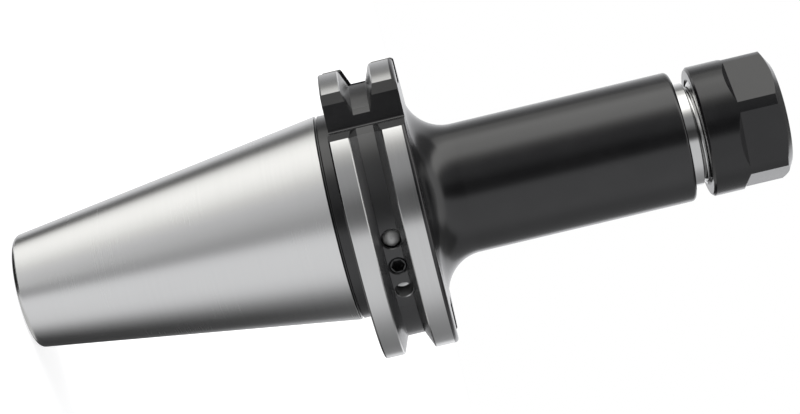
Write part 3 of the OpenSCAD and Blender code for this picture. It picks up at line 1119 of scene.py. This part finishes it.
@dataclass
class ClampingNut:
    """The clamping nut, with its flats, its inner cone and its eccentric extraction ring. In millimetres."""

    radius: float = 14.0
    rear: float = 78.389
    front: float = 95.888
    across_flats: float = 25.3
    flats_length: float = 9.7
    ramp_angle: float = 50.0
    turn: float = 42.8
    face_radius: float = 11.0
    face_angle: float = 30.0
    rear_chamfer: float = 0.5
    bore_radius: float = 11.05
    thread_end: float = 85.85
    relief_radius: float = 11.35
    relief_end: float = 87.25
    chamber_radius: float = 8.875
    ring_rear: float = 89.608
    ring_front: float = 91.808
    ring_radius: float = 7.8875
    ring_offset: float = 0.7375
    ring_blank: float = 7.0
    head_radius: float = 8.625
    cone_start: float = 92.41
    mouth_radius: float = 6.617
    edge_round: float = 0.12
    edge_bevel: float = 0.11
    fine_round: float = 0.05
    bore_chamfer: float = 0.5
    thread_crest: float = 10.2
    thread_lead: float = 0.4
    thread_slack: float = 0.04
    flat_count: int = 6
    flat_half_angle: float = 29.9
    bevel_angle: float = 9.0
    bevel_inset: float = 0.3
    bevel_start: float = 3.0
    turned_steps: int = 144
    ring_steps: int = 72

    # What counts as a flat or a ramp: its sideways share, its turn in degrees and its area in square metres.
    least_sideways: float = 0.3
    flat_tolerance: float = 0.4
    smallest_flat: float = 2e-6

    @property
    def flat_step(self) -> float:
        """Returns the angle from one flat to the next, in degrees."""
        return 360 / self.flat_count

    def build(self) -> bpy.types.Object:
        """Makes the nut's mesh.

        Returns:
            The piece.
        """
        piece = piece_from(self._section().spun(self.turned_steps), "hex_nut")
        cut_away(piece, [self._flat_cutter(self.flat_step * index) for index in range(self.flat_count)])
        cut_away(piece, [self._ring_cutter()])
        self._break_edges(piece)
        shade_by_angle(piece)
        return piece

    def thread(self, nose: ThreadForm) -> bpy.types.Object:
        """Makes the nut's own thread, which runs between the ridges of the nose's.

        Args:
            nose: The nose's thread.

        Returns:
            The ridge.
        """
        form = replace(
            nose, crest_radius=self.thread_crest, root_radius=self.bore_radius, side=ThreadSide.INSIDE,
            start=nose.start + nose.pitch / 2 + nose.pitch, end=self.thread_end - self.thread_lead,
            slack=self.thread_slack,
        )
        return form.ridge("nut_thread", HIDDEN_THREAD_STEPS)

    def _section(self) -> Section:
        """Draws the section of the blank, outside first and then back through the inside.

        Returns:
            The section.
        """
        drop = (self.radius - self.face_radius) * math.tan(math.radians(self.face_angle))
        edge = self.edge_round
        section = Section()
        section.to(self.radius - self.rear_chamfer, self.rear, edge)
        section.to(self.radius, self.rear + self.rear_chamfer, edge)
        section.to(self.radius, self.front - drop, edge).to(self.face_radius, self.front, edge)
        section.to(self.mouth_radius, self.front, edge).to(self.head_radius, self.cone_start)
        section.to(self.head_radius, self.ring_front).to(self.ring_blank, self.ring_front)
        section.to(self.ring_blank, self.ring_rear).to(self.chamber_radius, self.ring_rear)
        section.to(self.chamber_radius, self.relief_end).to(self.relief_radius, self.relief_end)
        section.to(self.relief_radius, self.thread_end).to(self.bore_radius, self.thread_end)
        section.to(self.bore_radius, self.rear + self.bore_chamfer)
        section.to(self.bore_radius + self.bore_chamfer, self.rear, self.fine_round)
        return section

    def _flat_cutter(self, angle: float) -> bmesh.types.BMesh:
        """Makes the tool that mills one flat and the ramp behind it.

        Args:
            angle: Angle from the first flat, in degrees.

        Returns:
            The tool, in place.
        """
        flat = self.across_flats / 2
        start = self.front - self.flats_length
        outer = self.radius + PAST
        past_face = self.front + PAST
        ramp = (outer - flat) / math.tan(math.radians(self.ramp_angle))
        corners = ((flat, start), (outer, start - ramp), (outer, past_face), (flat, past_face))
        upright = Matrix.Rotation(math.pi / 2, 4, "X")
        around = Matrix.Rotation(math.radians(self.turn + angle), 4, "Z")
        half_width = flat * math.tan(math.radians(self.flat_half_angle))
        return prism([Vector(corner) for corner in corners], -half_width, half_width, around @ upright)

    def _ring_cutter(self) -> bmesh.types.BMesh:
        """Makes the tool that bores the extraction ring off centre.

        Returns:
            The tool, in place.
        """
        low, high = self.ring_rear - PAST, self.ring_front + PAST
        section = Section().to(0, low).to(self.ring_radius, low).to(self.ring_radius, high).to(0, high)
        aside = Matrix.Translation(mm_point(self.ring_offset, 0, 0))
        around = Matrix.Rotation(math.radians(self.turn), 4, "Z")
        return section.spun(self.ring_steps, closed=False, turn=around @ aside)

    def _break_edges(self, piece: bpy.types.Object) -> None:
        """Bevels the edges that the flats leave on the outside.

        Args:
            piece: The nut, which is changed.
        """
        shell = bmesh.new()
        shell.from_mesh(piece.data)
        bmesh.ops.remove_doubles(shell, verts=shell.verts, dist=WELD_DISTANCE)
        inner = (self.face_radius + self.bevel_inset) * MM
        behind = (self.rear + self.bevel_start) * MM
        sharp = [
            edge for edge in shell.edges
            if len(edge.link_faces) == 2 and edge.calc_face_angle(0.0) > math.radians(self.bevel_angle)
            and all(math.hypot(v.co.x, v.co.y) > inner and v.co.z > behind for v in edge.verts)
            and any(self._on_flat(face) for face in edge.link_faces)
        ]
        bmesh.ops.bevel(
            shell, geom=sharp, offset=self.edge_bevel * MM, offset_type="OFFSET", segments=2, profile=0.5,
            affect="EDGES", clamp_overlap=True, material=-1,
        )
        shell.to_mesh(piece.data)
        shell.free()

    def _on_flat(self, face: bmesh.types.BMFace) -> bool:
        """Tells whether a face is one of the flats or their ramps.

        Args:
            face: The face.

        Returns:
            True for a flat and for a ramp.
        """
        side = Vector((face.normal.x, face.normal.y))
        if side.length < self.least_sideways:
            return False
        around = math.degrees(math.atan2(side.y, side.x)) - self.turn
        off = abs((around + self.flat_step / 2) % self.flat_step - self.flat_step / 2)
        return off < self.flat_tolerance and face.calc_area() > self.smallest_flat

    def finish(self) -> bpy.types.Material:
        """Returns the nut's material."""
        return new_material("nut_finish", BlackOxide(roughness=0.19, ior=1.51).shader)


@dataclass(frozen=True)
class SmallParts:
    """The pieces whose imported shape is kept: collet, stop screw, closing screws and balls."""

    collet_steel: GroundSteel = GroundSteel(base=(0.58, 0.57, 0.55), roughness=0.24)
    screw_steel: BlackOxide = BlackOxide(base=(0.006, 0.006, 0.007, 1.0), roughness=0.24)
    ball_steel: GroundSteel = GroundSteel(
        base=(0.40, 0.40, 0.395), roughness=0.38, line_depth=0.0, anisotropy=0.0, metallic=0.3,
    )

    def dress(self) -> None:
        """Gives each of them its finish."""
        bright = new_material("collet_finish", self.collet_steel.shader)
        black = new_material("screw_finish", self.screw_steel.shader)
        polished = new_material("ball_finish", self.ball_steel.shader)
        finishes = {
            "collet": (bright, Slot.COLLET_STEEL),
            "stop_screw": (black, Slot.SCREW_STEEL),
            "closing_screws": (black, Slot.SCREW_STEEL),
            "sealing_balls": (polished, Slot.BALL_STEEL),
        }
        for node, (material, slot) in finishes.items():
            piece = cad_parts[node]
            piece.data.materials.clear()
            piece.data.materials.append(material)
            log.info("%s: packed shape with %s", node, material.name)


@dataclass(frozen=True)
class PhotoCamera:
    """The photograph's camera. Lengths are in millimetres and angles in degrees."""

    azimuth: float = 85.33
    distance: float = 430.0
    height: float = 26.92
    yaw: float = -1.814
    pitch: float = -0.106
    roll: float = 13.385
    focal_pixels: float = 2018.3
    image_width: float = 800.0
    sensor_width: float = 36.0
    nearest: float = 10.0

    def directions(self) -> tuple[Vector, Vector, Vector]:
        """Works out how the camera is turned.

        Returns:
            Its right, up and forward directions.
        """
        around = math.radians(self.azimuth)
        forward = Vector((-math.cos(around), -math.sin(around), 0))
        right = Vector((0, 0, 1))
        up = right.cross(forward)
        forward, right = self._turned(forward, right, self.yaw)
        forward, up = self._turned(forward, up, self.pitch)
        cosine, sine = math.cos(math.radians(self.roll)), math.sin(math.radians(self.roll))
        return right * cosine - up * sine, right * sine + up * cosine, forward

    @staticmethod
    def _turned(first: Vector, second: Vector, angle: float) -> tuple[Vector, Vector]:
        """Turns the first direction towards the second by an angle in degrees."""
        cosine, sine = math.cos(math.radians(angle)), math.sin(math.radians(angle))
        return first * cosine + second * sine, second * cosine - first * sine

    def place(self) -> None:
        """Adds the camera to the scene."""
        right, up, forward = self.directions()
        around = math.radians(self.azimuth)
        where = mm_point(self.distance * math.cos(around), self.distance * math.sin(around), self.height)
        data = bpy.data.cameras.new("photo_camera")
        data.sensor_width = self.sensor_width
        data.lens = self.focal_pixels / self.image_width * self.sensor_width
        data.clip_start = self.nearest * MM
        camera = bpy.data.objects.new("photo_camera", data)
        turn = Matrix((right, up, -forward)).transposed()
        camera.matrix_world = Matrix.Translation(where) @ turn.to_4x4()
        bpy.context.scene.collection.objects.link(camera)
        bpy.context.scene.camera = camera


@dataclass(frozen=True)
class LightRing:
    """Brightness of the studio round the tool's axis, at one slope to it.

    Each step is an angle and a strength. The angle is in degrees from the camera's side and grows towards the
    picture's upper edge.
    """

    steps: tuple[tuple[float, float], ...]
    warm_from: float = 42.0
    warm_to: float = 125.0
    warm: tuple[float, float, float] = (1.0, 0.995, 0.975)
    cool: tuple[float, float, float] = (0.975, 0.98, 1.0)

    def stops(self, strongest: float) -> list[tuple[float, Colour]]:
        """Turns the ring into a ramp's stops.

        Args:
            strongest: The strength that counts as 1.

        Returns:
            Each stop's place and colour.
        """
        stops = []
        for angle, strength in self.steps:
            tint = self.warm if self.warm_from < angle < self.warm_to else self.cool
            stops.append((angle / 360 + 0.5, (*(part * strength / strongest for part in tint), 1.0)))
        return stops


@dataclass(frozen=True)
class Studio:
    """Soft light on white: a large overhead softbox, grey walls, dark flags and a pale floor.

    A border between two lights is a place and a width. A place is how far a direction leans one way, from -1
    to 1, or a share of the way round the tool's axis.
    """

    camera: PhotoCamera
    strongest: float = 2.4
    ends: float = 1.25
    front_flag: float = 0.2
    lip_light: float = 1.6
    back_flag: float = 0.02
    table: float = 0.8
    taper_blend: float = 0.22
    behind_border: tuple[float, float] = (-0.15, 0.2)
    front_flag_start: tuple[float, float] = (0.58, 0.06)
    front_flag_end: tuple[float, float] = (0.88, 0.08)
    back_border: tuple[float, float] = (0.52, 0.04)
    lip_border: tuple[float, float] = (0.50, 0.04)
    back_flag_start: tuple[float, float] = (0.66, 0.04)
    back_flag_side: tuple[float, float] = (0.87, 0.02)
    table_border: tuple[float, float] = (0.30, 0.10)
    floor_size: float = 4.0
    floor_grey: float = 0.7
    floor_roughness: float = 0.9
    floor_glow: float = 0.62
    lamp_size: float = 0.9
    lamp_power: float = 9.0
    lamp_place: tuple[float, float, float] = (0.75, 0.35, 1.0)
    level_ring: LightRing = LightRing((
        (-180, 1.15), (-152, 1.2), (-146, 0.45), (-130, 0.36), (-113, 0.42), (-99, 0.52), (-92, 0.62),
        (-84, 0.74), (-77, 0.82), (-65, 0.87), (-22, 0.86), (-18, 0.76), (-15, 0.44), (-11, 0.18), (-7, 0.08),
        (6, 0.06), (14, 0.18), (22, 0.30), (36, 0.34), (44, 0.56), (50, 1.00), (56, 1.70), (62, 2.30),
        (90, 2.30), (97, 1.80), (104, 1.10), (113, 0.95), (118, 0.38), (126, 0.40), (132, 0.55), (152, 1.05),
        (180, 1.15),
    ))
    taper_ring: LightRing = LightRing((
        (-180, 1.00), (-174, 0.60), (-166, 0.05), (-119, 0.06), (-110, 0.12), (-102, 0.21), (-95, 0.33),
        (-87, 0.52), (-81, 0.70), (-75, 0.86), (-69, 0.98), (-58, 1.10), (-22, 1.12), (-15, 1.02),
        (-10, 0.74), (-4, 0.52), (8, 0.56), (24, 0.74), (36, 0.86), (48, 1.04), (58, 1.28), (72, 1.52),
        (84, 1.62), (98, 1.56), (109, 1.25), (117, 0.36), (123, 0.08), (131, 0.14), (146, 0.90), (180, 1.00),
    ))

    def light(self) -> None:
        """Lights the scene through the world, and keeps the background white for the camera."""
        world = bpy.data.worlds.new("studio")
        world.use_nodes = True
        bpy.context.scene.world = world
        shading = Shading(world.node_tree)
        x, y, z = shading.split(shading.node("ShaderNodeTexCoord", output="Generated"))
        around = math.radians(self.camera.azimuth)
        towards_camera = x * math.cos(around) + y * math.sin(around)
        upwards = x * math.sin(around) - y * math.cos(around)
        place = upwards.angle_from(towards_camera) / FULL_TURN + 0.5
        level = self._ring_light(shading, self.level_ring, place)
        below = self._ring_light(shading, self.taper_ring, place)
        back = 0 - z
        room = shading.blend(back.ramp(0.0, self.taper_blend), level, below)
        in_front = z.above(*self.front_flag_start) * z.below(*self.front_flag_end)
        behind = towards_camera.below(*self.behind_border)
        past_taper = back.above(*self.back_border)
        lip = past_taper * place.above(*self.lip_border)
        flag = back.above(*self.back_flag_start).at_least(place.above(*self.back_flag_side)) * lip
        room = shading.blend(in_front * behind, room, self._grey(self.front_flag))
        room = shading.blend(lip, room, self._grey(self.lip_light))
        room = shading.blend(flag, room, self._grey(self.back_flag))
        room = shading.blend(past_taper * place.below(*self.table_border), room, self._grey(self.table))
        room = shading.blend(z.above(*self.front_flag_end), room, self._grey(self.ends))
        lit = shading.node("ShaderNodeBackground", inputs={"Color": room, "Strength": self.strongest})
        plain = shading.node("ShaderNodeBackground", inputs={"Color": WHITE, "Strength": 1.0})
        seen = shading.node("ShaderNodeLightPath", output="Is Camera Ray")
        shading.node("ShaderNodeOutputWorld", inputs={"Surface": shading.mixed_shader(seen, lit, plain)})

    def _ring_light(self, shading: Shading, ring: LightRing, place: Value) -> Value:
        """Returns a ring's light at a place round the axis."""
        return shading.node("ShaderNodeValToRGB", {"stops": ring.stops(self.strongest)}, {0: place})

    def _grey(self, strength: float) -> Colour:
        """Returns a strength of light as a grey share of the strongest."""
        share = strength / self.strongest
        return (share, share, share, 1.0)

    def _floor_shader(self, shading: Shading) -> Value:
        """Builds the floor's finish, which glows a little for the camera alone.

        Args:
            shading: The tree that it goes into.

        Returns:
            The shader.
        """
        seen = shading.node("ShaderNodeLightPath", output="Is Camera Ray")
        return shading.node(
            "ShaderNodeBsdfPrincipled",
            inputs={
                "Base Color": (self.floor_grey, self.floor_grey, self.floor_grey, 1.0),
                "Roughness": self.floor_roughness,
                "Specular IOR Level": 0.0,
                "Emission Color": WHITE,
                "Emission Strength": seen * self.floor_glow,
            },
        )

    def lay_floor(self) -> None:
        """Lays the pale floor that the holder stands on."""
        shell = bmesh.new()
        bmesh.ops.create_grid(shell, x_segments=1, y_segments=1, size=self.floor_size)
        bmesh.ops.translate(shell, verts=shell.verts, vec=(0, 0, CAD_BOX[0].z))
        floor = piece_from(shell, "floor")
        floor.visible_glossy = False
        floor.data.materials.append(new_material("pale_floor", self._floor_shader))

    def hang_lamp(self) -> None:
        """Hangs the lamp that gives the floor its soft shadow. It doesn't show in the steel."""
        data = bpy.data.lights.new("overhead", "AREA")
        data.shape = "DISK"
        data.size = self.lamp_size
        data.energy = self.lamp_power
        lamp = bpy.data.objects.new("overhead", data)
        where = Vector(self.lamp_place)
        lamp.matrix_world = Matrix.Translation(where) @ where.to_track_quat("Z", "Y").to_matrix().to_4x4()
        lamp.visible_glossy = False
        bpy.context.scene.collection.objects.link(lamp)


def main() -> None:
    """Builds the holder's pieces, the camera and the studio, in that order."""
    logging.basicConfig(level=logging.INFO, format="%(message)s")
    camera = PhotoCamera()
    camera.place()
    studio = Studio(camera)
    studio.light()
    studio.lay_floor()
    studio.hang_lamp()

    holder = HolderBody()
    body = holder.build()
    skin = holder.finish()
    settle(body, Body.HOLDER, skin)
    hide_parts("holder_body")
    for ridge in holder.threads():
        settle(ridge, Body.HOLDER, skin)

    nut = ClampingNut()
    hexagon = nut.build()
    black = nut.finish()
    settle(hexagon, Body.NUT, black)
    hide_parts("clamping_nut")
    settle(nut.thread(holder.nose_thread()), Body.NUT, black)

    SmallParts().dress()

    bpy.context.scene.view_settings.view_transform = "Standard"


if __name__ == "__main__":
    main()
